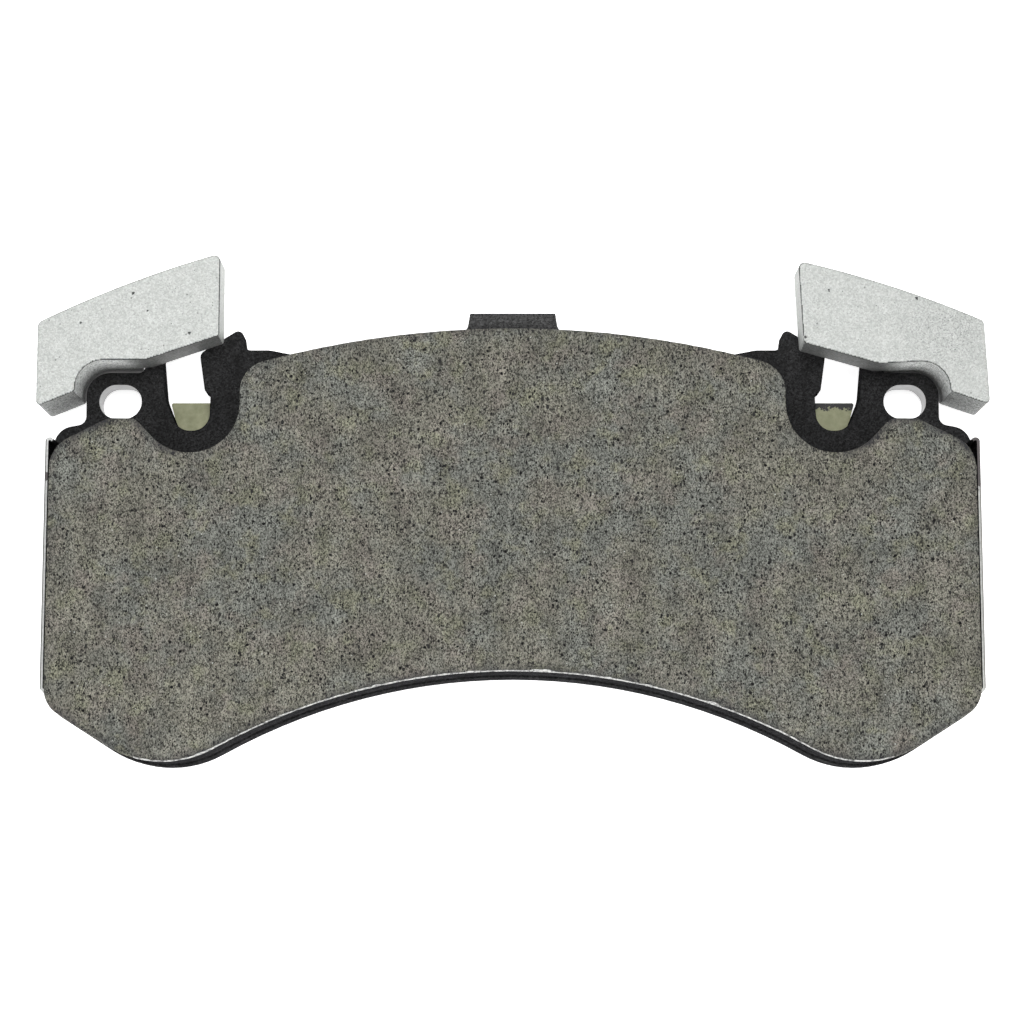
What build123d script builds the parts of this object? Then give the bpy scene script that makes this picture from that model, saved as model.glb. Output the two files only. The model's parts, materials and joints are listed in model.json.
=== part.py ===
from build123d import *
import os
from math import asin, cos, degrees, radians, sin, sqrt, tan

os.makedirs("parts", exist_ok=True)

# Front brake pad for a fixed caliper, lying on its back: millimetres, +Z towards the
# disc, +X along the pad, +Y away from the disc's axis. The disc's axis stands at
# (0, -MEAN_RADIUS), so the origin is on the pad's centre line, at the middle of the
# rubbed track, on the back of the shim.

# Layers, from the back face up to the friction face
SHIM_OUTER_SHEET = 0.4
SHIM_CORE = 0.1
SHIM_INNER_SHEET = 0.4
SHIM_ADHESIVE = 0.1
PLATE = 5.9
UNDERLAYER = 1.6
FRICTION = 9.6

CORE_BASE = SHIM_OUTER_SHEET
INNER_SHEET_BASE = CORE_BASE + SHIM_CORE
ADHESIVE_BASE = INNER_SHEET_BASE + SHIM_INNER_SHEET
PLATE_BACK = ADHESIVE_BASE + SHIM_ADHESIVE
PLATE_FRONT = PLATE_BACK + PLATE
FRICTION_BASE = PLATE_FRONT + UNDERLAYER
FRICTION_FACE = FRICTION_BASE + FRICTION

# Radii about the disc's axis
MEAN_RADIUS = 160.0
FRICTION_OUTER_RADIUS = 195.5
FRICTION_INNER_RADIUS = 124.6
PLATE_OUTER_RADIUS = 196.9
PLATE_INNER_RADIUS = 124.0
SHIM_INNER_RADIUS = 126.2
WEIGHT_OUTER_RADIUS = 220.4

# Lower lobes: where each meets the inner arc, its radius, and the straight beyond it
FRICTION_LOBE_ANGLE = 28.97
FRICTION_LOBE_RADIUS = 21.6
PLATE_LOBE_ANGLE = 29.07
PLATE_LOBE_RADIUS = 21.8
SHIM_LOBE_ANGLE = 28.0
SHIM_LOBE_RADIUS = 20.0
CHAMFER_ANGLE = 32.6

# Half lengths
FRICTION_END = 95.1
PLATE_END = 96.2
SHIM_END = 87.0
SHIM_TOP = 22.8

# Friction outline beside the pin ear, from the end inwards: x, y, corner radius
FRICTION_EAR_CORNERS = [
    (FRICTION_END, 10.7, 7.0),
    (83.2, 16.7, 3.0),
    (77.7, 16.7, 2.5),
    (70.9, 9.6, 10.1),
    (56.2, 9.6, 10.1),
]
FRICTION_SHOULDER_X = 56.2
FRICTION_SHOULDER_RADIUS = 6.5
FRICTION_END_RADIUS = 6.0

# Plate outline from its outer arc round to its end: x, y, corner radius
PLATE_SHOULDER_X = 44.5
HORN_CORNERS = [
    (51.2, 33.1, 6.0),
    (56.2, 33.1, 1.2),
    (57.0, 37.95, 1.2),
    (65.9, 32.4, 1.6),
]
NOTCH_CORNERS = [
    (64.75, 24.45, 0.8),
    (63.5, 23.6, 0.8),
    (63.8, 15.95, 3.6),
    (70.2, 15.95, 3.6),
    (72.95, 22.9, 6.0),
]
ARM_CORNERS = [
    (73.8, 31.8, 1.0),
    (68.8, 33.4, 3.0),
    (68.8, 44.9, 6.0),
    (81.8, 44.9, 6.0),
    (81.8, 33.4, 3.0),
    (77.4, 31.4, 1.0),
]
EAR_CORNERS = [
    (77.4, 28.25, 1.2),
    (89.6, 28.25, 4.9),
    (89.5, 17.4, 1.9),
    (PLATE_END, 16.2, 4.3),
]
PLATE_END_RADIUS = 6.5
PLATE_EDGE_ROUND = 0.3

# Shim outline from its end up to its straight top edge, which shows through the notches
SHIM_CORNERS = [
    (SHIM_END, 11.5, 4.0),
    (71.3, 18.4, 2.0),
    (72.5, SHIM_TOP, 0.4),
]
SHIM_END_RADIUS = 6.0

# Centre tab on the plate's outer arc
TAB_TOP = 41.0
TAB_TOP_HALF = 9.0
TAB_BASE_HALF = 9.65
TAB_CORNER = 0.3
TAB_ROOT = 2.4

# Slots for the two guide pins
PIN_X = 82.35
PIN_Y = 22.05
PIN_SLOT_LENGTH = 8.9
PIN_SLOT_WIDTH = 7.2

# Keying holes, which the underlayer fills
KEY_ANGLES = [6.5, 16.5, 26.5]
KEY_RADIUS = 4.5

# Damper weights: outline on the +X side, as x, y, corner radius
WEIGHT_CORNERS = [
    (60.75, 34.4, 0.8),
    (60.75, 60.0, 0.0),
    (98.5, 60.0, 0.0),
    (98.5, 19.4, 0.9),
    (90.4, 22.7, 0.8),
    (90.5, 29.2, 5.7),
    (76.1, 29.2, 6.0),
]
WEIGHT_BELOW_FACE = 2.0
WEIGHT_TOP_CORNER = 1.3
WEIGHT_EDGE_ROUND = 0.25
WEIGHT_FRONT = FRICTION_FACE - WEIGHT_BELOW_FACE
# Step in the back of each weight, open inwards, that clears the plate's arm
STEP_CORNERS = [
    (50.0, 10.0, 0.0),
    (78.3, 10.0, 0.0),
    (78.3, 30.9, 1.0),
    (83.0, 32.9, 2.5),
    (83.0, 70.0, 0.0),
    (50.0, 70.0, 0.0),
]
# Each weight may turn a little about its corner beside the ear, within its rivet's play
WEIGHT_PIVOT = (90.9, 23.3)
LEFT = -1
RIGHT = 1
WEIGHT_TURN = {LEFT: 0.0, RIGHT: 2.9}

# One rivet for each weight, through a clearance hole in the plate's arm
RIVET_HOLE = (75.3, 39.0)
RIVET_BORE = (75.7, 39.4)
RIVET_RADIUS = 2.4
RIVET_PLAY = 0.75
RIVET_HEAD_RADIUS = 4.2
RIVET_HEAD_HEIGHT = 2.0
RIVET_HEAD_CHAMFER = 0.5
RIVET_DEPTH = 6.0
COUNTERBORE_RADIUS = 5.2
COUNTERBORE_DEPTH = 1.3

# Abutment strips: a 0.6 mm sheet round each end of the plate
STRIP_SHEET = 0.6
STRIP_FRONT = 13.1
# Curled ends of a strip: how far each reaches inwards, its tip's y and its bend's y
STRIP_HOOK_TOP = (1.2, 12.9, 13.9)
STRIP_HOOK_BOTTOM = (0.7, -39.2, -38.5)
STRIP_CLEARANCE = 0.1
STRIP_WEB_TOP = 13.6
STRIP_WEB_BOTTOM = -37.5
STRIP_FLANGE_TOP = 6.0
STRIP_FLANGE_BOTTOM = -30.0
STRIP_FLANGE_END = 88.6
STRIP_BEND = 0.6
STRIP_MID = PLATE_END + STRIP_SHEET / 2
STRIP_BACK = PLATE_BACK - STRIP_SHEET
STRIP_STEP = PLATE_FRONT + STRIP_CLEARANCE
STRIP_RIVET_X = 91.6
STRIP_RIVET_YS = [-3.0, -21.0]
STRIP_RIVET_RADIUS = 1.3
STRIP_RIVET_DEPTH = 4.5
STRIP_RIVET_HEAD_RADIUS = 2.4
STRIP_RIVET_HEAD_HEIGHT = 0.35


def height_on(radius, x):
    """Y of the point at x on a circle about the disc's axis."""
    return sqrt(radius**2 - x**2) - MEAN_RADIUS


def corner_points(corners):
    return [(x, y) for x, y, _ in corners]


def corner_radii(corners):
    return [radius for _, _, radius in corners]


def pad_face(plane, inner_radius, lobe_angle, lobe_radius, end, end_radius, corners, top_radius, top_x):
    """A pad-shaped face: inner arc, lobe, chamfered end, the listed corners, outer arc.

    One half is drawn on the +X side and mirrored. With no top_radius the top is straight.
    """
    axis = (0, -MEAN_RADIUS)
    along_arc = (cos(radians(lobe_angle)), -sin(radians(lobe_angle)))
    inner_end = (-inner_radius * along_arc[1], inner_radius * along_arc[0] - MEAN_RADIUS)
    top_y = height_on(top_radius, top_x) if top_radius else corners[-1][1]
    with BuildSketch(plane) as face:
        with BuildLine():
            CenterArc(axis, inner_radius, 90, -lobe_angle)
            lobe = JernArc(inner_end, along_arc, lobe_radius, lobe_angle + CHAMFER_ANGLE)
            chamfer_end = (lobe @ 1).Y + (end - (lobe @ 1).X) * tan(radians(CHAMFER_ANGLE))
            run = [(end, chamfer_end, end_radius)] + corners
            FilletPolyline(lobe @ 1, *corner_points(run), (top_x, top_y), radius=corner_radii(run))
            if top_radius:
                CenterArc(axis, top_radius, 90, -degrees(asin(top_x / top_radius)))
            mirror(about=Plane.YZ)
        make_face()
    return face.sketch


def friction_face(height):
    face = pad_face(
        Plane.XY.offset(height),
        FRICTION_INNER_RADIUS,
        FRICTION_LOBE_ANGLE,
        FRICTION_LOBE_RADIUS,
        FRICTION_END,
        FRICTION_END_RADIUS,
        FRICTION_EAR_CORNERS,
        FRICTION_OUTER_RADIUS,
        FRICTION_SHOULDER_X,
    )
    shoulder_y = height_on(FRICTION_OUTER_RADIUS, FRICTION_SHOULDER_X)
    with BuildSketch(Plane.XY.offset(height)) as friction:
        add(face)
        shoulders = friction.vertices().filter_by(lambda v: abs(v.Y - shoulder_y) < 0.01)
        fillet(shoulders, FRICTION_SHOULDER_RADIUS)
    return friction.sketch


def plate_face(height):
    face = pad_face(
        Plane.XY.offset(height),
        PLATE_INNER_RADIUS,
        PLATE_LOBE_ANGLE,
        PLATE_LOBE_RADIUS,
        PLATE_END,
        PLATE_END_RADIUS,
        (HORN_CORNERS + NOTCH_CORNERS + ARM_CORNERS + EAR_CORNERS)[::-1],
        PLATE_OUTER_RADIUS,
        PLATE_SHOULDER_X,
    )
    tab_root = height_on(PLATE_OUTER_RADIUS, TAB_BASE_HALF)
    with BuildSketch(Plane.XY.offset(height)) as plate:
        add(face)
        with BuildLine():
            Polyline(
                (-TAB_BASE_HALF, tab_root - 2),
                (-TAB_BASE_HALF, tab_root),
                (-TAB_TOP_HALF, TAB_TOP),
                (TAB_TOP_HALF, TAB_TOP),
                (TAB_BASE_HALF, tab_root),
                (TAB_BASE_HALF, tab_root - 2),
                close=True,
            )
        make_face()
        tab_corners = plate.vertices().filter_by(lambda v: abs(v.Y - TAB_TOP) < 0.01 and abs(v.X) < 10)
        fillet(tab_corners, TAB_CORNER)
        tab_roots = plate.vertices().filter_by(lambda v: abs(v.Y - tab_root) < 0.01 and abs(v.X) < 10)
        fillet(tab_roots, TAB_ROOT)
        with Locations((-PIN_X, PIN_Y), (PIN_X, PIN_Y)):
            SlotOverall(PIN_SLOT_LENGTH, PIN_SLOT_WIDTH, mode=Mode.SUBTRACT)
    return plate.sketch


def shim_face(height):
    return pad_face(
        Plane.XY.offset(height),
        SHIM_INNER_RADIUS,
        SHIM_LOBE_ANGLE,
        SHIM_LOBE_RADIUS,
        SHIM_END,
        SHIM_END_RADIUS,
        SHIM_CORNERS,
        None,
        0,
    )


def key_points():
    """Centres of the keying holes, on the mean radius."""
    points = []
    for angle in KEY_ANGLES:
        x = MEAN_RADIUS * sin(radians(angle))
        y = MEAN_RADIUS * cos(radians(angle)) - MEAN_RADIUS
        points += [(-x, y), (x, y)]
    return points


def weight_plane(side, height):
    """Plane at a height, centred on the weight's turning corner and turned with it."""
    angle = radians(side * WEIGHT_TURN[side])
    origin = (side * WEIGHT_PIVOT[0], WEIGHT_PIVOT[1], height)
    return Plane(origin=origin, x_dir=(cos(angle), sin(angle), 0), z_dir=(0, 0, 1))


def on_weight(side, x, y):
    """A point given on the +X weight, in the weight plane of either side."""
    return (side * (x - WEIGHT_PIVOT[0]), y - WEIGHT_PIVOT[1])


def weight_face(side, height):
    with BuildSketch(weight_plane(side, height)) as face:
        with BuildLine():
            points = [on_weight(side, x, y) for x, y, _ in WEIGHT_CORNERS]
            FilletPolyline(*points, radius=corner_radii(WEIGHT_CORNERS), close=True)
        make_face()
        with Locations(on_weight(side, 0, -MEAN_RADIUS)):
            Circle(WEIGHT_OUTER_RADIUS, mode=Mode.INTERSECT)
        fillet(face.vertices().sort_by(Axis.Y)[-2:], WEIGHT_TOP_CORNER)
    return face.sketch


def weight_step(side, height):
    with BuildSketch(weight_plane(side, height)) as face:
        with BuildLine():
            points = [on_weight(side, x, y) for x, y, _ in STEP_CORNERS]
            FilletPolyline(*points, radius=corner_radii(STEP_CORNERS), close=True)
        make_face()
    return face.sketch


def circle_face(plane, points, radius):
    with BuildSketch(plane) as face:
        with Locations(points):
            Circle(radius)
    return face.sketch


# Backing plate
with BuildPart() as backing_plate:
    extrude(plate_face(PLATE_BACK), amount=PLATE)
    fillet(backing_plate.faces().sort_by(Axis.Z)[-1].outer_wire().edges(), PLATE_EDGE_ROUND)
    chamfer(backing_plate.faces().sort_by(Axis.Z)[0].outer_wire().edges(), PLATE_EDGE_ROUND)
    back = Plane.XY.offset(PLATE_BACK)
    rivet_points = [(-RIVET_HOLE[0], RIVET_HOLE[1]), RIVET_HOLE]
    strip_points = [(side * STRIP_RIVET_X, y) for side in (LEFT, RIGHT) for y in STRIP_RIVET_YS]
    key_holes = circle_face(back, key_points(), KEY_RADIUS)
    rivet_holes = circle_face(back, rivet_points, RIVET_RADIUS + RIVET_PLAY)
    counterbores = circle_face(back, rivet_points, COUNTERBORE_RADIUS)
    strip_holes = circle_face(back, strip_points, STRIP_RIVET_RADIUS)
    extrude(key_holes, amount=PLATE, mode=Mode.SUBTRACT)
    extrude(rivet_holes, amount=PLATE, mode=Mode.SUBTRACT)
    extrude(counterbores, amount=COUNTERBORE_DEPTH, mode=Mode.SUBTRACT)
    extrude(strip_holes, amount=STRIP_RIVET_DEPTH, mode=Mode.SUBTRACT)
backing_plate.part.label = "backing_plate"
export_step(backing_plate.part, "parts/backing_plate.step")

# Underlayer, whose plugs fill the plate's keying holes
with BuildPart() as underlayer:
    extrude(friction_face(PLATE_FRONT), amount=UNDERLAYER)
    extrude(circle_face(Plane.XY.offset(PLATE_BACK), key_points(), KEY_RADIUS), amount=PLATE)
underlayer.part.label = "underlayer"
export_step(underlayer.part, "parts/underlayer.step")

# Friction block
with BuildPart() as friction_block:
    extrude(friction_face(FRICTION_BASE), amount=FRICTION)
friction_block.part.label = "friction_block"
export_step(friction_block.part, "parts/friction_block.step")

# Shim: two steel sheets round a soft core, glued to the plate
with BuildPart() as shim_outer_sheet:
    extrude(shim_face(0), amount=SHIM_OUTER_SHEET)
shim_outer_sheet.part.label = "shim_outer_sheet"
export_step(shim_outer_sheet.part, "parts/shim_outer_sheet.step")

with BuildPart() as shim_damping_core:
    extrude(shim_face(CORE_BASE), amount=SHIM_CORE)
shim_damping_core.part.label = "shim_damping_core"
export_step(shim_damping_core.part, "parts/shim_damping_core.step")

with BuildPart() as shim_inner_sheet:
    extrude(shim_face(INNER_SHEET_BASE), amount=SHIM_INNER_SHEET)
shim_inner_sheet.part.label = "shim_inner_sheet"
export_step(shim_inner_sheet.part, "parts/shim_inner_sheet.step")

with BuildPart() as shim_adhesive_film:
    extrude(shim_face(ADHESIVE_BASE), amount=SHIM_ADHESIVE)
shim_adhesive_film.part.label = "shim_adhesive_film"
export_step(shim_adhesive_film.part, "parts/shim_adhesive_film.step")


# Damper weights: thin over the plate, as deep as the plate's back beyond it
def build_weight(side, name):
    rivet_end = PLATE_FRONT + RIVET_DEPTH
    with BuildPart() as weight:
        extrude(weight_face(side, PLATE_BACK), amount=WEIGHT_FRONT - PLATE_BACK)
        extrude(weight_step(side, PLATE_BACK), amount=PLATE, mode=Mode.SUBTRACT)
        fillet(weight.faces().sort_by(Axis.Z)[-1].outer_wire().edges(), WEIGHT_EDGE_ROUND)
        bore = circle_face(weight_plane(side, PLATE_FRONT), [on_weight(side, *RIVET_BORE)], RIVET_RADIUS)
        extrude(bore, amount=rivet_end - PLATE_FRONT, mode=Mode.SUBTRACT)
    weight.part.label = name
    export_step(weight.part, f"parts/{name}.step")


def build_rivet(side, name):
    floor = PLATE_BACK + COUNTERBORE_DEPTH
    centre = [on_weight(side, *RIVET_BORE)]
    with BuildPart() as rivet:
        head_back = weight_plane(side, floor - RIVET_HEAD_HEIGHT)
        extrude(circle_face(head_back, centre, RIVET_HEAD_RADIUS), amount=RIVET_HEAD_HEIGHT)
        chamfer(rivet.edges().sort_by(Axis.Z)[0], RIVET_HEAD_CHAMFER)
        shank_length = PLATE_FRONT + RIVET_DEPTH - floor
        extrude(circle_face(weight_plane(side, floor), centre, RIVET_RADIUS), amount=shank_length)
    rivet.part.label = name
    export_step(rivet.part, f"parts/{name}.step")


build_weight(LEFT, "damper_weight_left")
build_weight(RIGHT, "damper_weight_right")
build_rivet(LEFT, "damper_rivet_left")
build_rivet(RIGHT, "damper_rivet_right")


# Abutment strips: a web on the plate's end, a rivet flange behind, curled ends in front
top_reach, top_tip, top_bend = STRIP_HOOK_TOP
bottom_reach, bottom_tip, bottom_bend = STRIP_HOOK_BOTTOM
with BuildPart() as abutment_strip_right:
    with BuildSketch(Plane.XZ.offset(-STRIP_FLANGE_TOP)):
        with BuildLine():
            FilletPolyline(
                (STRIP_FLANGE_END, STRIP_BACK + STRIP_SHEET / 2),
                (STRIP_MID, STRIP_BACK + STRIP_SHEET / 2),
                (STRIP_MID, STRIP_STEP),
                radius=STRIP_BEND,
            )
        trace(line_width=STRIP_SHEET)
    extrude(amount=STRIP_FLANGE_TOP - STRIP_FLANGE_BOTTOM)
    with BuildSketch(Plane.XY.offset(PLATE_BACK + STRIP_SHEET)):
        with Locations((STRIP_MID, (STRIP_WEB_TOP + STRIP_WEB_BOTTOM) / 2)):
            Rectangle(STRIP_SHEET, STRIP_WEB_TOP - STRIP_WEB_BOTTOM)
    extrude(amount=STRIP_STEP - PLATE_BACK - STRIP_SHEET)
    with BuildSketch(Plane.XY.offset(STRIP_STEP)):
        with BuildLine():
            FilletPolyline(
                (STRIP_MID - top_reach, top_tip),
                (STRIP_MID, top_bend),
                (STRIP_MID, bottom_bend),
                (STRIP_MID - bottom_reach, bottom_tip),
                radius=STRIP_BEND,
            )
        trace(line_width=STRIP_SHEET)
    extrude(amount=STRIP_FRONT - STRIP_STEP)
    flange_holes = [(STRIP_RIVET_X, y) for y in STRIP_RIVET_YS]
    holes = circle_face(Plane.XY.offset(STRIP_BACK), flange_holes, STRIP_RIVET_RADIUS)
    extrude(holes, amount=STRIP_SHEET, mode=Mode.SUBTRACT)
abutment_strip_right.part.label = "abutment_strip_right"
export_step(abutment_strip_right.part, "parts/abutment_strip_right.step")

with BuildPart() as abutment_strip_left:
    mirror(abutment_strip_right.part, about=Plane.YZ)
abutment_strip_left.part.label = "abutment_strip_left"
export_step(abutment_strip_left.part, "parts/abutment_strip_left.step")


def build_strip_rivets(side, name):
    points = [(side * STRIP_RIVET_X, y) for y in STRIP_RIVET_YS]
    head = Plane.XY.offset(STRIP_BACK - STRIP_RIVET_HEAD_HEIGHT)
    shank = Plane.XY.offset(STRIP_BACK)
    with BuildPart() as rivets:
        extrude(circle_face(head, points, STRIP_RIVET_HEAD_RADIUS), amount=STRIP_RIVET_HEAD_HEIGHT)
        extrude(circle_face(shank, points, STRIP_RIVET_RADIUS), amount=STRIP_SHEET + STRIP_RIVET_DEPTH)
    rivets.part.label = name
    export_step(rivets.part, f"parts/{name}.step")


build_strip_rivets(LEFT, "strip_rivets_left")
build_strip_rivets(RIGHT, "strip_rivets_right")
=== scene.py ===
import json
from math import cos, pi, radians, sin
from random import Random

import bmesh
import bpy
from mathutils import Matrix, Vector, noise
from mathutils.geometry import delaunay_2d_cdt
from mathutils.kdtree import KDTree


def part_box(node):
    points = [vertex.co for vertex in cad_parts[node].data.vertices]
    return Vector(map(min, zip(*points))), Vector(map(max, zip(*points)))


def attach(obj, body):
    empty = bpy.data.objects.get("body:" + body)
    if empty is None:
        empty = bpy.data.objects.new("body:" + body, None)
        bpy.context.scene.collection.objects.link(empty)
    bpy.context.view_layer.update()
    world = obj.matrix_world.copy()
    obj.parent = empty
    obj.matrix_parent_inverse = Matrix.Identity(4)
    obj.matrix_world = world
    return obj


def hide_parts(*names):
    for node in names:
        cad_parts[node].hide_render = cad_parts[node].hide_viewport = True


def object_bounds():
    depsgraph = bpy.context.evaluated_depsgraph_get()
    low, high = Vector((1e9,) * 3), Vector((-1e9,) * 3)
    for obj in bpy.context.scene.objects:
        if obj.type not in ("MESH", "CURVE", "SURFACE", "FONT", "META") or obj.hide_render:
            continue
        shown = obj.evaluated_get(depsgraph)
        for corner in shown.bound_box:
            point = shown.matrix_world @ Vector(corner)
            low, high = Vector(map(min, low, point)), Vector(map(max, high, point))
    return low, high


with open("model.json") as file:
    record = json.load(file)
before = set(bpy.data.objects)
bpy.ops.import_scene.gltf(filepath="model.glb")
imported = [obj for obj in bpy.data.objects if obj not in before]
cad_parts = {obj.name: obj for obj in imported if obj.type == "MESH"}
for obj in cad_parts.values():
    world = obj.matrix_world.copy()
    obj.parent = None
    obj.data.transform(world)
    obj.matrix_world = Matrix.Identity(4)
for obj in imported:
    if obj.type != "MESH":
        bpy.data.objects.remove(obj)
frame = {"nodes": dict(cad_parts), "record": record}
cad_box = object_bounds()

# Metres, in the CAD frame: +Z towards the disc, +X along the pad, +Y away from the disc's axis
MM = 0.001
SIDES = ("left", "right")


# Node trees

def node(tree, kind, inputs=None, **settings):
    """A new shader node; an input takes either a value or another node's output."""
    made = tree.nodes.new(kind)
    for name, value in settings.items():
        setattr(made, name, value)
    for name, value in (inputs or {}).items():
        if isinstance(value, bpy.types.NodeSocket):
            tree.links.new(value, made.inputs[name])
        else:
            made.inputs[name].default_value = value
    return made


def maths(tree, operation, first, second):
    return node(tree, "ShaderNodeMath", {0: first, 1: second}, operation=operation).outputs[0]


def place_mm(tree, stretch=(1, 1, 1), shift=(0, 0, 0)):
    """Object coordinates in millimetres, stretched along each axis, then shifted."""
    where = node(tree, "ShaderNodeTexCoord").outputs["Object"]
    inputs = {0: where, 1: [s / MM for s in stretch], 2: shift}
    return node(tree, "ShaderNodeVectorMath", inputs, operation="MULTIPLY_ADD").outputs[0]


def grain(tree, where, per_mm, detail=2.0, roughness=0.5):
    inputs = {"Vector": where, "Scale": per_mm, "Detail": detail, "Roughness": roughness}
    return node(tree, "ShaderNodeTexNoise", inputs).outputs["Fac"]


def spots(tree, where, per_mm, radius_mm, share):
    """1 inside round spots of mixed size, which a share of the cells of a lattice holds."""
    cells = node(tree, "ShaderNodeTexVoronoi", {"Vector": where, "Scale": per_mm})
    draw = node(tree, "ShaderNodeSeparateColor", {"Color": cells.outputs["Color"]})
    there = maths(tree, "LESS_THAN", draw.outputs["Red"], share)
    size = maths(tree, "MULTIPLY", draw.outputs["Green"], radius_mm * per_mm)
    return maths(tree, "MULTIPLY", there, maths(tree, "LESS_THAN", cells.outputs["Distance"], size))


def levels(tree, value, *stops):
    """Maps a value through (position, grey or colour) stops."""
    made = node(tree, "ShaderNodeValToRGB", {"Fac": value})
    points = made.color_ramp.elements
    while len(points) < len(stops):
        points.new(0.5)
    for point, (position, level) in zip(points, stops):
        point.position = position
        point.color = (level, level, level, 1) if isinstance(level, (int, float)) else (*level, 1)
    return made.outputs["Color"]


def span(tree, value, low, high):
    """Stretches a value of 0 to 1 to run from low to high."""
    return node(tree, "ShaderNodeMapRange", {"Value": value, "To Min": low, "To Max": high}).outputs["Result"]


def contrast(tree, value, low, high):
    """Noise, which stays near 0.5, as a multiplier from low to high."""
    inputs = {"Value": value, "From Min": 0.3, "From Max": 0.7, "To Min": low, "To Max": high}
    return node(tree, "ShaderNodeMapRange", inputs).outputs["Result"]


def mix(tree, share, first, second, blend="MIX"):
    made = node(tree, "ShaderNodeMix", {"Factor": share}, data_type="RGBA", blend_type=blend)
    for index, value in ((6, first), (7, second)):
        if isinstance(value, bpy.types.NodeSocket):
            tree.links.new(value, made.inputs[index])
        else:
            made.inputs[index].default_value = (*value, 1)
    return made.outputs[2]


def tinted(tree, base, *multipliers):
    """A colour multiplied by each of the given values."""
    for value in multipliers:
        base = mix(tree, 1.0, base, value, "MULTIPLY")
    return base


def attribute(tree, name):
    return node(tree, "ShaderNodeAttribute", attribute_name=name).outputs["Fac"]


def grains(tree, where, per_mm, low, high):
    """Separate grains, each of its own tone from low to high."""
    cells = node(tree, "ShaderNodeTexVoronoi", {"Vector": where, "Scale": per_mm})
    draw = node(tree, "ShaderNodeSeparateColor", {"Color": cells.outputs["Color"]})
    return span(tree, draw.outputs["Red"], low, high)


def along(tree, where, axis):
    return node(tree, "ShaderNodeSeparateXYZ", {0: where}).outputs[axis]


def new_material(name, roughness, metallic=0.0, specular=0.5):
    material = bpy.data.materials.new(name)
    material.use_nodes = True
    shader = material.node_tree.nodes["Principled BSDF"]
    shader.inputs["Roughness"].default_value = roughness
    shader.inputs["Metallic"].default_value = metallic
    shader.inputs["Specular IOR Level"].default_value = specular
    return material, material.node_tree, shader


def finish_material(tree, shader, colour, height, depth_mm, roughness=None):
    """Links a material's colour, its relief of a given depth, and where it varies its roughness."""
    tree.links.new(colour, shader.inputs["Base Color"])
    relief = node(tree, "ShaderNodeBump", {"Height": height, "Distance": depth_mm * MM, "Strength": 1.0})
    tree.links.new(relief.outputs[0], shader.inputs["Normal"])
    if roughness:
        tree.links.new(roughness, shader.inputs["Roughness"])


# Materials

# Places on the pad, in its own millimetres: the tab's painted sheen, the right weight's soiled place,
# the painted shade and darker flank in the weights' cutouts, the film's overspray and the strips' sheared
# edge
TAB_HALF_WIDTH = 11.0
TAB_SHEEN_FROM = 36.5
TAB_SHEEN_FULL = 39.0
SOILED_PLACE = (90.0, 35.5, 16.1)
SOILED_REACH = 13.0
SOILED_CORE = 3.0
FOOT_SHADE_TOP = 8.5
FOOT_SHADE_BOTTOM = 3.0
FLANK_START = 76.5
FLANK_END = 82.5
OVERSPRAY_DEPTH = 3.2
STRIP_OUTER = 96.8
SHEARED_FROM_OUTER = 0.24


def compound_tint(tree, where, drawn):
    """Friction compound: soft patches of slate, plum and olive, clouds, and separate grains."""
    patches = grain(tree, where, 0.07, 3.0, 0.6)
    slate = levels(tree, patches, (0.4, 1.0), (0.56, 0.0))
    tint = mix(tree, slate, (0.138, 0.134, 0.111), (0.126, 0.130, 0.116))
    plum = levels(tree, grain(tree, where, 0.15, 3.0, 0.6), (0.5, 0.0), (0.68, 1.0))
    tint = mix(tree, plum, tint, (0.141, 0.130, 0.112))
    olive = grain(tree, place_mm(tree, shift=(31, 7, 3)), 0.19, 3.0, 0.6)
    tint = mix(tree, levels(tree, olive, (0.52, 0.0), (0.66, 1.0)), tint, (0.143, 0.143, 0.106))
    clouds = contrast(tree, grain(tree, drawn, 0.16, 4.0, 0.6), 0.76, 1.24)
    return tinted(tree, tint, clouds, grains(tree, drawn, 5.0, 0.12, 1.88))


def compound_face():
    """The ground face: grinding strokes across the pad, dark grains, bright flecks, open pits with painted
    shade darkening them towards their floors.
    """
    material, tree, shader = new_material("friction_compound", 0.85, specular=0.25)
    where = place_mm(tree)
    drawn = place_mm(tree, (1.1, 0.7, 1))
    strokes = grain(tree, place_mm(tree, (2.0, 0.06, 1)), 1.0, 2.0, 0.6)
    tint = tinted(tree, compound_tint(tree, where, drawn), contrast(tree, strokes, 0.88, 1.12))
    pores = levels(tree, grain(tree, drawn, 1.9, 2.0, 0.75), (0.32, 1.0), (0.37, 0.0))
    tint = mix(tree, pores, tint, (0.02, 0.02, 0.018))
    crowded = levels(tree, grain(tree, where, 0.35, 3.0, 0.6), (0.42, 0.25), (0.58, 1.0))
    specks = maths(tree, "MULTIPLY", spots(tree, drawn, 2.3, 0.26, 0.5), crowded)
    tint = mix(tree, specks, tint, (0.008, 0.008, 0.008))
    tint = mix(tree, spots(tree, drawn, 0.9, 0.36, 0.2), tint, (0.02, 0.02, 0.019))
    tint = mix(tree, spots(tree, where, 1.1, 0.16, 0.12), tint, (0.42, 0.43, 0.40))
    smudge = contrast(tree, grain(tree, where, 0.3, 3.0), 0.3, 1.1)
    tint = mix(tree, maths(tree, "MULTIPLY", attribute(tree, "edge"), smudge), tint, (0.03, 0.03, 0.033))
    # Painted shade: pits darken towards their floors.
    tint = mix(tree, levels(tree, attribute(tree, "pit"), (0.0, 0.0), (0.3, 1.0)), tint, (0.01, 0.01, 0.01))
    height = mix(tree, 0.3, grain(tree, where, 3.0, 3.0, 0.8), strokes)
    finish_material(tree, shader, tint, height, 0.1)
    return material


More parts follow.
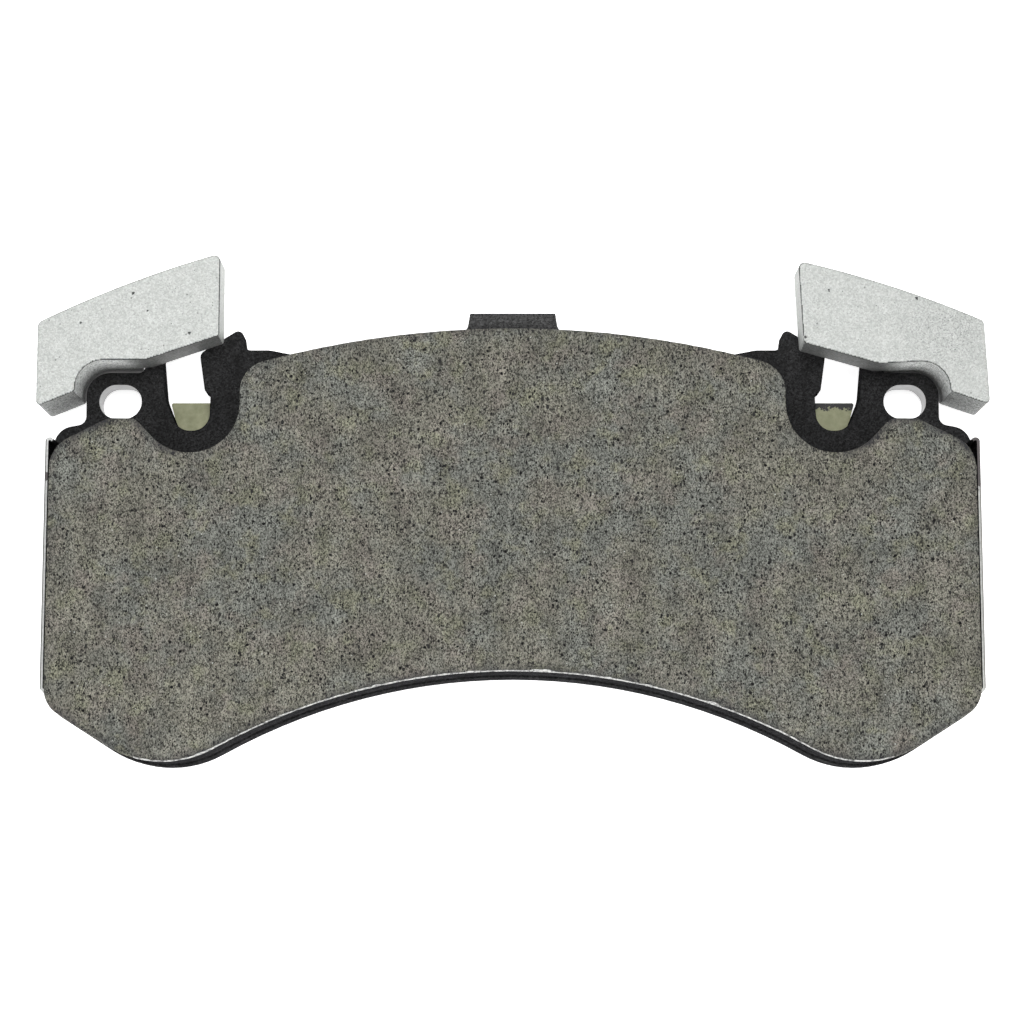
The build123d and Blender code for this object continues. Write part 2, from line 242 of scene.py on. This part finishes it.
def compound_edge():
    """The compound's arris, ground bright."""
    material, tree, shader = new_material("friction_arris", 0.7, specular=0.4)
    where = place_mm(tree)
    ragged = grain(tree, where, 1.6, 3.0, 0.7)
    bright = levels(tree, ragged, (0.38, (0.1, 0.1, 0.1)), (0.5, (0.4, 0.4, 0.39)), (0.62, (0.6, 0.6, 0.58)))
    finish_material(tree, shader, bright, ragged, 0.08)
    return material


def paint_tint(tree, where, tone):
    """Black powder coat's colour: fine pebbling, faint dust and pale grains."""
    pebble = grain(tree, where, 1.6, 3.0, 0.7)
    dust = contrast(tree, grain(tree, where, 0.16, 4.0, 0.7), 0.7, 1.5)
    tint = levels(tree, pebble, (0.3, [0.6 * t for t in tone]), (0.7, [1.5 * t for t in tone]))
    return tinted(tree, tint, dust, grains(tree, where, 3.6, 0.2, 2.0)), pebble


def wall_paint():
    """Black paint on the friction block's sides."""
    material, tree, shader = new_material("mould_paint", 0.9, specular=0.0)
    tint, pebble = paint_tint(tree, place_mm(tree), (0.017, 0.017, 0.018))
    finish_material(tree, shader, tint, pebble, 0.1)
    return material


def plate_paint():
    """The plate's black powder coat, with a lighter grey painted sheen on the centre tab."""
    material, tree, shader = new_material("powder_coat", 0.6, specular=0.13)
    where = place_mm(tree)
    tint, pebble = paint_tint(tree, where, (0.013, 0.013, 0.0135))
    # The tab's lighter grey with horizontal streaks is a painted sheen.
    streaks = contrast(tree, grain(tree, place_mm(tree, (0.25, 3.0, 1)), 1.0, 3.0, 0.7), 0.6, 1.3)
    tab_sheen = levels(tree, pebble, (0.2, (0.055, 0.055, 0.055)), (0.8, (0.095, 0.095, 0.095)))
    tab_sheen = tinted(tree, tab_sheen, streaks, grains(tree, where, 3.6, 0.4, 1.6))
    up_tab = {"Value": along(tree, where, "Y"), "From Min": TAB_SHEEN_FROM, "From Max": TAB_SHEEN_FULL}
    up_tab = node(tree, "ShaderNodeMapRange", up_tab).outputs["Result"]
    from_centre = maths(tree, "ABSOLUTE", along(tree, where, "X"), 0.0)
    on_tab = maths(tree, "LESS_THAN", from_centre, TAB_HALF_WIDTH)
    tint = mix(tree, maths(tree, "MULTIPLY", up_tab, on_tab), tint, tab_sheen)
    finish_material(tree, shader, tint, pebble, 0.06, span(tree, grain(tree, where, 0.6, 2.0), 0.5, 0.75))
    return material


def soil(tree, where, tint, bright):
    """Fine dark speckle, thickest round one place on the right weight."""
    inputs = {0: where, 1: SOILED_PLACE}
    away = node(tree, "ShaderNodeVectorMath", inputs, operation="DISTANCE").outputs["Value"]
    fade = {"Value": away, "From Min": SOILED_REACH, "From Max": SOILED_CORE}
    share = node(tree, "ShaderNodeMapRange", fade).outputs["Result"]
    specks = levels(tree, grain(tree, where, 3.0, 2.0, 0.8), (0.38, 0.75), (0.47, 0.0))
    return mix(tree, maths(tree, "MULTIPLY", share, specks), tint, [0.4 * b for b in bright])


def cutout_foot_shade_and_flank(tree, where, tint):
    """Painted shade at the foot of a weight's lower wall, darkest near the plate, and a darker tone over its
    flank beside the rivet, darkest towards the pad's centre.
    """
    # Painted shade: the wall darkens towards its foot near the plate.
    foot = {"Value": along(tree, where, "Z"), "From Min": FOOT_SHADE_TOP, "From Max": FOOT_SHADE_BOTTOM}
    dust = node(tree, "ShaderNodeMapRange", foot, interpolation_type="SMOOTHSTEP").outputs["Result"]
    from_centre = maths(tree, "ABSOLUTE", along(tree, where, "X"), 0.0)
    flank = {"Value": from_centre, "From Min": FLANK_END, "From Max": FLANK_START, "To Max": 0.8}
    flank = node(tree, "ShaderNodeMapRange", flank, interpolation_type="SMOOTHSTEP").outputs["Result"]
    tint = mix(tree, flank, tint, (0.02, 0.02, 0.02))
    return mix(tree, dust, tint, (0.008, 0.008, 0.008))


def plated_casting(name, bright, dark, per_mm, depth_mm, grain_low=0.86, soiled=False, foot_shade_and_flank=False):
    """Light zinc-flake plating over a sandy casting."""
    material, tree, shader = new_material(name, 0.5, metallic=0.3)
    where = place_mm(tree)
    sand = grain(tree, where, per_mm, 4.0, 0.75)
    tint = levels(tree, sand, (0.3, dark), (0.48, bright), (0.75, [1.06 * b for b in bright]))
    patches = contrast(tree, grain(tree, where, 0.25, 3.0, 0.6), 0.95, 1.05)
    tint = tinted(tree, tint, patches, grains(tree, where, 3.6, grain_low, 2.0 - grain_low))
    tint = mix(tree, spots(tree, where, 1.3, 0.2, 0.14), tint, [0.45 * b for b in bright])
    if soiled:
        tint = soil(tree, where, tint, bright)
    if foot_shade_and_flank:
        tint = cutout_foot_shade_and_flank(tree, where, tint)
    # Painted shade: pinholes darken towards their floors.
    tint = mix(tree, levels(tree, attribute(tree, "pit"), (0.1, 0.0), (0.7, 1.0)), tint, (0.06, 0.06, 0.06))
    finish_material(tree, shader, tint, sand, depth_mm, span(tree, sand, 0.45, 0.65))
    return material


def steel(name, tone, roughness, stretch):
    """Bare sheet or rivet steel, brushed along one axis."""
    material, tree, shader = new_material(name, roughness, metallic=0.9)
    where = place_mm(tree)
    brushed = grain(tree, place_mm(tree, stretch), 1.0, 3.0, 0.7)
    tint = levels(tree, brushed, (0.25, [0.6 * t for t in tone]), (0.75, tone))
    tint = tinted(tree, tint, contrast(tree, grain(tree, where, 0.3, 4.0, 0.7), 0.75, 1.1))
    finish_material(tree, shader, tint, brushed, 0.02, span(tree, brushed, roughness - 0.1, roughness + 0.12))
    return material


def strip_edge(name, sheared, outer_shade, spatter_mm, half_mm):
    """A strip's sheared front edge: a bright band, a darker outer band painted as shade on its rounded outer
    side, and black spatter round a height.
    """
    material, tree, shader = new_material(name, 0.6, metallic=0.0, specular=0.3)
    where = place_mm(tree)
    from_centre = maths(tree, "ABSOLUTE", along(tree, where, "X"), 0.0)
    ragged = grain(tree, where, 1.5, 3.0, 0.7)
    band = maths(tree, "ADD", from_centre, span(tree, ragged, -0.1, 0.1))
    # Outside the bright band the edge takes the darker outer colour, a painted shade on the rounded outer
    # side.
    tint = mix(tree, maths(tree, "GREATER_THAN", band, STRIP_OUTER - SHEARED_FROM_OUTER), sheared, outer_shade)
    tint = tinted(tree, tint, contrast(tree, ragged, 0.7, 1.15))
    away = maths(tree, "ABSOLUTE", maths(tree, "SUBTRACT", along(tree, where, "Y"), spatter_mm), 0.0)
    near = {"Value": away, "From Min": half_mm + 2, "From Max": half_mm - 2}
    near = node(tree, "ShaderNodeMapRange", near).outputs["Result"]
    cover = maths(tree, "ADD", grain(tree, where, 0.9, 3.0, 0.6), near)
    tint = mix(tree, maths(tree, "GREATER_THAN", cover, 0.95), tint, (0.11, 0.1, 0.1))
    finish_material(tree, shader, tint, ragged, 0.03)
    return material


def adhesive_film():
    """Pale green film on the shim, with black overspray along its top beside the right notch."""
    material, tree, shader = new_material("adhesive_film", 0.55)
    where = place_mm(tree)
    mottle = grain(tree, where, 0.5, 3.0, 0.6)
    tint = levels(tree, mottle, (0.3, (0.31, 0.32, 0.18)), (0.7, (0.46, 0.47, 0.28)))
    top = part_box("shim_adhesive_film")[1].y / MM
    near_top = {"Value": along(tree, where, "Y"), "From Min": top - OVERSPRAY_DEPTH, "From Max": top + 0.4}
    near_top = node(tree, "ShaderNodeMapRange", near_top).outputs["Result"]
    right = maths(tree, "GREATER_THAN", along(tree, where, "X"), 0.0)
    cover = maths(tree, "ADD", grain(tree, where, 1.3, 3.0, 0.7), near_top)
    flecks = maths(tree, "GREATER_THAN", cover, 1.02)
    tint = mix(tree, maths(tree, "MULTIPLY", flecks, right), tint, (0.02, 0.02, 0.02))
    finish_material(tree, shader, tint, mottle, 0.03)
    return material


def rubber_coat(name, tone, coarse):
    """Matt rubber coating of the shim, with a fine grain and faint scuffs."""
    material, tree, shader = new_material(name, 0.7, specular=0.35)
    where = place_mm(tree)
    fine = grain(tree, where, coarse, 3.0, 0.7)
    scuffs = grain(tree, place_mm(tree, (0.12, 1.1, 1)), 0.5, 4.0, 0.75)
    tint = tinted(tree, levels(tree, fine, (0.2, [0.75 * t for t in tone]), (0.8, [1.3 * t for t in tone])),
                  contrast(tree, grain(tree, where, 0.05, 3.0), 0.85, 1.2))
    tint = mix(tree, levels(tree, scuffs, (0.6, 0.0), (0.72, 0.35)), tint, [3.0 * t for t in tone])
    finish_material(tree, shader, tint, fine, 0.03, span(tree, scuffs, 0.55, 0.8))
    return material


# Mesh work

def welded(name):
    """A CAD node's mesh as a bmesh whose shared corners are joined."""
    form = bmesh.new()
    form.from_mesh(frame["nodes"][name].data)
    bmesh.ops.remove_doubles(form, verts=form.verts, dist=MM / 1000)
    return form


def new_piece(name, mesh, *materials):
    piece = bpy.data.objects.new(name, mesh)
    bpy.context.scene.collection.objects.link(piece)
    for material in materials:
        mesh.materials.append(material)
    return piece


def stand_in(piece, name):
    """The piece is shown in place of a CAD node, and moves with its body."""
    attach(piece, "root")
    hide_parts(name)


def coat(name, *materials):
    """Gives a CAD node its materials."""
    mesh = frame["nodes"][name].data
    mesh.materials.clear()
    for material in materials:
        mesh.materials.append(material)


def top_outline(name):
    """The outline of a CAD node's flat top, counterclockwise, as 2-D points."""
    form = welded(name)
    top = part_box(name)[1].z
    flat = {f for f in form.faces if all(abs(v.co.z - top) < MM / 1000 for v in f.verts)}
    rim = [e for e in form.edges if sum(f in flat for f in e.link_faces) == 1]
    after = {}
    for edge in rim:
        face = next(f for f in edge.link_faces if f in flat)
        loop = next(c for c in edge.link_loops if c.face == face)
        after[loop.vert] = loop.link_loop_next.vert
    vert = first = next(iter(after))
    points = []
    while not points or vert is not first:
        points.append(vert.co.xy)
        vert = after[vert]
    form.free()
    return points


def evenly(points, spacing):
    """A closed outline again, with a point at every spacing."""
    closed = points + points[:1]
    lengths = [(b - a).length for a, b in zip(closed, closed[1:])]
    count = round(sum(lengths) / spacing)
    step = sum(lengths) / count
    even, walked, index = [], 0.0, 0
    for turn in range(count):
        while walked + lengths[index] < turn * step:
            walked += lengths[index]
            index += 1
        share = (turn * step - walked) / lengths[index]
        even.append(closed[index].lerp(closed[index + 1], share))
    return even


def inward(points):
    """Unit vectors into a counterclockwise outline, one at each point."""
    count = len(points)
    forward = [points[(i + 2) % count] - points[i - 2] for i in range(count)]
    return [Vector((-f.y, f.x)).normalized() for f in forward]


# Friction block: ground face with open pits, ragged arris, moulded walls

OUTLINE_STEP = 0.6 * MM
ARRIS = 0.1 * MM
ARRIS_BELOW = 0.2 * MM
ARC_FACING = 0.8
GROUND_HALF = 77 * MM
CHIP_DEPTH = 0.9 * MM
ARRIS_DROP = 0.9
CORNER_X = 68 * MM
CORNER_Y = 8 * MM
WALL_STEP = 0.8 * MM
WALL_RELIEF = 0.09 * MM
SMUDGE_WIDTH = 2.0 * MM
PIT_TRIES = 9000
PIT_SMALLEST = 0.12 * MM
PIT_LARGEST = 0.46 * MM
PIT_GAP = 0.12 * MM
PATCH_WIDE = 7 * MM
PATCH_NARROW = 2 * MM


def arris_widths(outline, inwards):
    """Width of the worn arris at each outline point: wider on the inner arc, with small chips."""
    widths = []
    for point, across in zip(outline, inwards):
        ragged = noise.noise(Vector((*point, 0)) / (1.1 * MM))
        chip = max(0.0, noise.noise(Vector((*point, MM)) / (2.6 * MM)) - 0.4)
        facing = ARRIS + ARRIS_BELOW * max(0.0, across.y)
        widths.append(facing * (1 + 0.45 * ragged) + CHIP_DEPTH * chip)
    return widths


def edge_soot(point, across):
    """How sooty the face is at its edge: most at the painted upper corners, less on the inner arc."""
    if abs(point.x) > CORNER_X and point.y > CORNER_Y:
        return 1.0
    return 0.8 if across.y > ARC_FACING else 0.35


def scatter_pits(draw, clear_of):
    """Pits as (centre, radius): denser in patches, clear of one another and of the edge."""
    low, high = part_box("friction_block")
    cells, pits = {}, []
    for _ in range(PIT_TRIES):
        centre = Vector((draw.uniform(low.x, high.x), draw.uniform(low.y, high.y)))
        radius = PIT_SMALLEST + (PIT_LARGEST - PIT_SMALLEST) * draw.random() ** 3
        patch = noise.noise(Vector((*centre, 0)) / PATCH_WIDE)
        patch += 0.5 * noise.noise(Vector((*centre, MM)) / PATCH_NARROW)
        if draw.random() > 0.42 + 0.55 * patch or not clear_of(centre, radius):
            continue
        cell = (round(centre.x / MM), round(centre.y / MM))
        near = [p for x in (-1, 0, 1) for y in (-1, 0, 1) for p in cells.get((cell[0] + x, cell[1] + y), [])]
        if all((centre - c).length > radius + r + PIT_GAP for c, r in near):
            cells.setdefault(cell, []).append((centre, radius))
            pits.append((centre, radius))
    return pits


def pit_rings(draw, centre, radius):
    """A pit's ragged rim and its floor, as 2-D points."""
    corners = draw.randint(6, 9)
    turn, long = draw.uniform(0, pi), draw.uniform(0.75, 1.0)
    rim, floor = [], []
    for corner in range(corners):
        angle = 2 * pi * corner / corners
        reach = radius * draw.uniform(0.72, 1.0)
        flat = Vector((cos(angle), long * sin(angle))) * reach
        flat = Vector((flat.x * cos(turn) - flat.y * sin(turn), flat.x * sin(turn) + flat.y * cos(turn)))
        rim.append(centre + flat)
        floor.append(centre + flat * draw.uniform(0.45, 0.62))
    return rim, floor


def friction_face_points(draw, outer, inner):
    """Points of the ground face with their depth, pit share and edge share, and the lines to keep."""
    tree = KDTree(len(inner))
    for index, point in enumerate(inner):
        tree.insert((*point, 0), index)
    tree.balance()
    into = inward(inner)

    def clear_of(centre, radius):
        nearest, index, away = tree.find((*centre, 0))
        return (centre - nearest.xy).dot(into[index]) > 0 and away > radius + PIT_GAP

    points, depths, pitted, edges = [], [], [], []

    def add_ring(ring, depth, pit, kept):
        first = len(points)
        points.extend(ring)
        depths.extend([depth] * len(ring))
        pitted.extend([pit] * len(ring))
        if kept:
            edges.extend((first + i, first + (i + 1) % len(ring)) for i in range(len(ring)))

    add_ring(outer, 0.0, 0.0, True)
    add_ring(inner, 0.0, 0.0, True)
    for centre, radius in scatter_pits(draw, clear_of):
        rim, floor = pit_rings(draw, centre, radius)
        depth = radius * draw.uniform(0.6, 0.95)
        add_ring(rim, 0.0, 0.0, True)
        add_ring(floor, 0.8 * depth, 1.0, False)
        add_ring([centre], depth, 1.0, False)
    return points, depths, pitted, edges


def triangulate(points, edges):
    """Triangles inside the kept lines, over the same points."""
    scaled = [p / MM for p in points]
    made, _, faces, sources, _, _ = delaunay_2d_cdt(scaled, edges, [], 1, 1e-5)
    where = [s[0] if s else None for s in sources]
    extra = {}
    for index, source in enumerate(where):
        if source is None:
            extra[index] = made[index] * MM
    return where, extra, faces


def ground_face(form, points, depths, pitted, edges, outline, into, top):
    """The ground face's mesh; returns its rim, one vertex at each outline point."""
    where, extra, faces = triangulate(points, edges)
    pit = form.verts.layers.float.new("pit")
    edge_share = form.verts.layers.float.new("edge")
    made, on_rim = [], {}
    for index, source in enumerate(where):
        flat = extra[index] if source is None else points[source]
        vert = form.verts.new((*flat, top - (0 if source is None else depths[source])))
        vert[pit] = 0 if source is None else pitted[source]
        if source is not None and source < len(outline):
            on_rim[source] = vert
            vert[edge_share] = edge_soot(outline[source], into[source])
        made.append(vert)
    for face in faces:
        form.faces.new([made[i] for i in face])
    return [on_rim[i] for i in range(len(outline))]


def moulded_walls(form, row, outline, into, widths, top, base):
    """The arris and the side walls below the rim, then the flat base."""
    wall_rows = round((top - base) / WALL_STEP)
    for level in range(wall_rows + 1):
        fall = level / wall_rows
        next_row = []
        for index, point in enumerate(outline):
            drop = ARRIS_DROP * widths[index]
            z = top - drop - fall * (top - base - drop)
            relief = 0.5 + 0.5 * noise.noise(Vector((*point, z)) / (1.4 * MM))
            flat = point + into[index] * WALL_RELIEF * relief * min(1.0, 4 * (1 - fall))
            next_row.append(form.verts.new((*flat, z)))
        for i in range(len(row)):
            j = (i + 1) % len(row)
            face = form.faces.new((row[i], next_row[i], next_row[j], row[j]))
            ground = into[i].y > ARC_FACING and abs(outline[i].x) < GROUND_HALF
            face.material_index = 2 if level else int(ground)
            face.smooth = level > 0
        row = next_row
    _, _, faces = triangulate([v.co.xy for v in row], [(i, (i + 1) % len(row)) for i in range(len(row))])
    for face in faces:
        form.faces.new([row[i] for i in reversed(face)]).material_index = 2


def build_friction_block(materials):
    low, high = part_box("friction_block")
    outline = evenly(top_outline("friction_block"), OUTLINE_STEP)
    into = inward(outline)
    widths = arris_widths(outline, into)
    outer = [p + n * w for p, n, w in zip(outline, into, widths)]
    inner = [p + n * SMUDGE_WIDTH for p, n in zip(outline, into)]
    points, depths, pitted, edges = friction_face_points(Random(11), outer, inner)

    form = bmesh.new()
    rim = ground_face(form, points, depths, pitted, edges, outline, into, high.z)
    moulded_walls(form, rim, outline, into, widths, high.z, low.z)
    mesh = bpy.data.meshes.new("friction_block_ground")
    form.to_mesh(mesh)
    form.free()
    piece = new_piece("friction_block_ground", mesh, *materials)
    stand_in(piece, "friction_block")


# Damper weights: sandy castings with softened edges, pinholes and a shallow scratch

VOXEL = 0.21 * MM
SAND_RELIEF = 0.02 * MM
WALL_SAND_RELIEF = 0.035 * MM
PINHOLES = 9
PINHOLE_SMALLEST = 0.22 * MM
PINHOLE_LARGEST = 0.34 * MM
SCRATCH_POINTS = 9
SCRATCH_START = (85.0 * MM, 33.6 * MM)
SCRATCH_RADIUS = 0.28 * MM
SCRATCH_DEPTH = 0.05 * MM
CUTOUT_OUTER = 90.7 * MM
CUTOUT_TOP = 30.5 * MM


def remeshed(name, voxel):
    """A CAD node's shape as an even mesh with softened edges."""
    source = bpy.data.objects.new("remesh_source", frame["nodes"][name].data.copy())
    bpy.context.scene.collection.objects.link(source)
    even = source.modifiers.new("even", "REMESH")
    even.mode = "VOXEL"
    even.voxel_size = voxel
    shaped = source.evaluated_get(bpy.context.evaluated_depsgraph_get())
    mesh = bpy.data.meshes.new_from_object(shaped)
    bpy.data.objects.remove(source)
    return mesh


def pinhole_places(draw, low, high):
    """Pinholes on the front face, as (centre, radius, depth)."""
    holes = []
    for _ in range(PINHOLES):
        centre = Vector((draw.uniform(low.x, high.x), draw.uniform(low.y, high.y), high.z))
        radius = draw.uniform(PINHOLE_SMALLEST, PINHOLE_LARGEST)
        holes.append((centre, radius, 0.6 * radius))
    return holes


def scratch_places(start):
    """A short winding scratch, as a run of shallow (centre, radius, depth)."""
    run = []
    for step in range(SCRATCH_POINTS):
        centre = start + Vector((0.42 * step, 0.35 * sin(1.1 * step), 0)) * MM
        run.append((centre, SCRATCH_RADIUS, SCRATCH_DEPTH))
    return run


def weight_surface(place, normal, toward_centre):
    """Which of a weight's materials a face takes, by the way it faces, as lit and shaded copies of one plated
    casting: front, other walls darker as painted shade, a dark arris facing the disc's axis or the centre, or
    a lower wall brighter as painted light; walls facing the centre above the cutout take the front's tone as
    painted light.
    """
    inwards = toward_centre * normal.x
    if normal.z > 0.95:
        return 0
    if normal.z > 0.2 and (normal.y < -0.1 or inwards > 0.1):
        return 2
    if normal.z > 0.8 or (inwards > 0.6 and place.y > CUTOUT_TOP):
        return 0
    lower_wall = (normal.y < -0.2 or inwards > 0.3) and abs(place.x) < CUTOUT_OUTER
    return 3 if lower_wall else 1


def build_weight(side, seed, marks, *materials):
    name = f"damper_weight_{side}"
    mesh = remeshed(name, VOXEL)
    low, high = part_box(name)
    draw = Random(seed)
    tree = KDTree(len(mesh.vertices))
    for vert in mesh.vertices:
        tree.insert(vert.co, vert.index)
    tree.balance()
    sunk = [0.0] * len(mesh.vertices)
    pits = [0.0] * len(mesh.vertices)
    for centre, radius, depth in pinhole_places(draw, low, high) + marks:
        for place, index, away in tree.find_range(centre, radius):
            share = 1 - (away / radius) ** 2
            sunk[index] += depth * share
            if depth > SCRATCH_DEPTH:
                pits[index] = max(pits[index], share)
    normals = [vert.normal.copy() for vert in mesh.vertices]
    for vert, normal, dent in zip(mesh.vertices, normals, sunk):
        relief = SAND_RELIEF if normal.z > 0.7 else WALL_SAND_RELIEF
        sand = noise.noise(vert.co / (0.7 * MM)) + 0.5 * noise.noise(vert.co / (0.35 * MM))
        vert.co -= normal * (relief * (1.0 + 0.66 * sand) + dent)
    mesh.attributes.new("pit", "FLOAT", "POINT").data.foreach_set("value", pits)
    mesh.materials.clear()
    for polygon in mesh.polygons:
        polygon.use_smooth = True
        polygon.material_index = weight_surface(polygon.center, polygon.normal, 1 if side == "left" else -1)
    mesh.set_sharp_from_angle(angle=radians(35))
    piece = new_piece(f"{name}_casting", mesh, *materials)
    stand_in(piece, name)


# Thin steel pieces: the CAD shape with broken edges

def build_broken_edges(name, slot, radius, *materials):
    """Stands for a CAD node with its sharp edges broken by a small radius."""
    form = welded(name)
    bmesh.ops.dissolve_limit(form, angle_limit=radians(1), verts=form.verts, edges=form.edges)
    sharp = [e for e in form.edges if e.is_manifold and e.calc_face_angle() > radians(35)]
    bmesh.ops.bevel(form, geom=sharp, offset=radius, segments=2, affect="EDGES", clamp_overlap=True)
    mesh = bpy.data.meshes.new(f"{name}_finished")
    form.to_mesh(mesh)
    form.free()
    mesh.polygons.foreach_set("use_smooth", [True] * len(mesh.polygons))
    mesh.set_sharp_from_angle(angle=radians(40))
    piece = new_piece(f"{name}_finished", mesh, *materials)
    stand_in(piece, name)


# Backing plate: black powder coat, bare inside the pin slots

def build_plate(*materials):
    """The plate's CAD mesh: powder coat on its faces, matt sides, bare walls in the pin slots."""
    coat("backing_plate", *materials)
    mount = next(m for m in frame["record"]["mounts"] if m["name"] == "guide_pin_slots")
    slot_x = mount["dims"]["spacing_x_mm"] * MM / 2
    slot_y = mount["pos_m"][1]
    reach = mount["dims"]["slot_length_mm"] * MM / 2
    for polygon in frame["nodes"]["backing_plate"].data.polygons:
        place = polygon.center
        in_slot = abs(abs(place.x) - slot_x) < 1.05 * reach and abs(place.y - slot_y) < reach
        if abs(polygon.normal.z) > 0.5:
            polygon.material_index = 0
        else:
            polygon.material_index = 1 if in_slot else 2


# Abutment strips: bright sheared edges, brushed outer faces, black inner ones

STRIP_INNER = 96.15 * MM
STRIP_CURL_BASE = 7.1 * MM


def build_strip(side, edge, face, painted):
    """An abutment strip: sheared edges in front, black on the side towards the plate and on its hook."""
    name = f"abutment_strip_{side}"
    coat(name, edge, face, painted)
    inwards = 1 if side == "left" else -1
    for polygon in frame["nodes"][name].data.polygons:
        hooked = abs(polygon.center.x) < STRIP_INNER and polygon.center.z > STRIP_CURL_BASE
        if polygon.normal.z > 0.7:
            polygon.material_index = 0
        else:
            polygon.material_index = 2 if hooked or inwards * polygon.normal.x > 0.3 else 1


# Camera, floor and light

CAMERA_PITCH = 7.6
CAMERA_PLACE = (-0.00014, -0.07223, 0.53849)
LENS = 90.28
FLOOR_SIZE = 14.0
FLOOR_GAP = 0.02 * MM


def build_camera():
    data = bpy.data.cameras.new("camera")
    data.lens = LENS
    data.sensor_width = 36
    camera = bpy.data.objects.new("camera", data)
    camera.location = CAMERA_PLACE
    camera.rotation_euler = (radians(CAMERA_PITCH), 0, 0)
    bpy.context.scene.collection.objects.link(camera)
    bpy.context.scene.camera = camera


def build_floor():
    """A plain white light table: it glows a little, so that shadows stay pale."""
    mesh = bpy.data.meshes.new("floor")
    form = bmesh.new()
    bmesh.ops.create_grid(form, x_segments=8, y_segments=8, size=FLOOR_SIZE / 2)
    form.to_mesh(mesh)
    form.free()
    material, _, shader = new_material("floor_white", 0.9, specular=0.1)
    shader.inputs["Base Color"].default_value = (0.9, 0.9, 0.9, 1)
    shader.inputs["Emission Color"].default_value = (1, 1, 1, 1)
    shader.inputs["Emission Strength"].default_value = 0.85
    floor = new_piece("floor", mesh, material)
    floor.location.z = cad_box[0].z - FLOOR_GAP


def add_softbox(name, place, size, power):
    data = bpy.data.lights.new(name, "AREA")
    data.shape = "RECTANGLE"
    data.size, data.size_y = size
    data.energy = power
    light = bpy.data.objects.new(name, data)
    light.location = place
    light.rotation_euler = (-Vector(place)).to_track_quat("-Z", "Y").to_euler()
    bpy.context.scene.collection.objects.link(light)


def build_light():
    add_softbox("softbox_top", (0, 0.3, 1.0), (0.6, 0.5), 6.0)
    add_softbox("softbox_front", (0, -0.8, 0.6), (0.6, 0.4), 8.0)
    add_softbox("softbox_left", (-0.9, 0.2, 0.5), (0.5, 0.8), 2.4)
    add_softbox("softbox_right", (0.9, 0.2, 0.5), (0.5, 0.8), 2.4)
    world = bpy.data.worlds.new("studio")
    world.use_nodes = True
    world.node_tree.nodes["Background"].inputs["Color"].default_value = (1, 1, 1, 1)
    world.node_tree.nodes["Background"].inputs["Strength"].default_value = 0.2
    bpy.context.scene.world = world
    bpy.context.scene.view_settings.view_transform = "Standard"


def build_pad():
    paint = plate_paint()
    mould_paint = wall_paint()
    rivet_steel = steel("rivet_steel", (0.52, 0.52, 0.51), 0.38, (1.5, 1.5, 1.5))
    strip_steel = steel("strip_steel", (0.4, 0.4, 0.39), 0.4, (6, 0.25, 6))
    sheet_steel = steel("sheet_steel", (0.5, 0.5, 0.5), 0.4, (0.3, 4, 4))
    clean_edge = strip_edge("strip_edge_left", (0.6, 0.61, 0.6), (0.17, 0.17, 0.165), 5.5, 0.8)
    sooty_edge = strip_edge("strip_edge_right", (0.6, 0.61, 0.58), (0.25, 0.24, 0.23), 14.0, 11.0)
    bright, shadow = (0.462, 0.477, 0.46), (0.36, 0.37, 0.36)
    # The walls are lit and shaded copies of one plated casting: casting_end darker as painted shade,
    # casting_arris dark, casting_cutout brighter than the front as painted light, with painted shade at its
    # foot.
    walls = (
        plated_casting("casting_end", (0.27, 0.28, 0.27), (0.05, 0.05, 0.05), 2.6, 0.12, 0.3),
        plated_casting("casting_arris", (0.08, 0.085, 0.08), (0.03, 0.03, 0.03), 2.6, 0.05, 0.5),
        plated_casting("casting_cutout", (0.8, 0.82, 0.8), (0.25, 0.25, 0.25), 2.4, 0.08, 0.6, foot_shade_and_flank=True),
    )
    front = plated_casting("casting_front", [1.05 * b for b in bright], shadow, 2.6, 0.04, 0.82)
    soiled_front = plated_casting("casting_front_soiled", bright, shadow, 2.6, 0.04, 0.82, soiled=True)

    build_friction_block((compound_face(), compound_edge(), mould_paint))
    coat("underlayer", mould_paint)
    build_plate(paint, sheet_steel, mould_paint)
    build_weight("left", 3, [], front, *walls)
    scratch = scratch_places(Vector((*SCRATCH_START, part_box("damper_weight_right")[1].z)))
    build_weight("right", 5, scratch, soiled_front, *walls)
    build_strip("left", clean_edge, strip_steel, mould_paint)
    build_strip("right", sooty_edge, strip_steel, mould_paint)
    for side in SIDES:
        build_broken_edges(f"damper_rivet_{side}", "rivet_steel", 0.15 * MM, rivet_steel)
        build_broken_edges(f"strip_rivets_{side}", "rivet_steel", 0.1 * MM, rivet_steel)
    coat("shim_adhesive_film", adhesive_film())
    coat("shim_inner_sheet", sheet_steel)
    coat("shim_damping_core", rubber_coat("damping_core", (0.05, 0.05, 0.05), 1.5))
    coat("shim_outer_sheet", rubber_coat("shim_coating", (0.045, 0.046, 0.05), 2.5))


build_camera()
build_floor()
build_light()
build_pad()
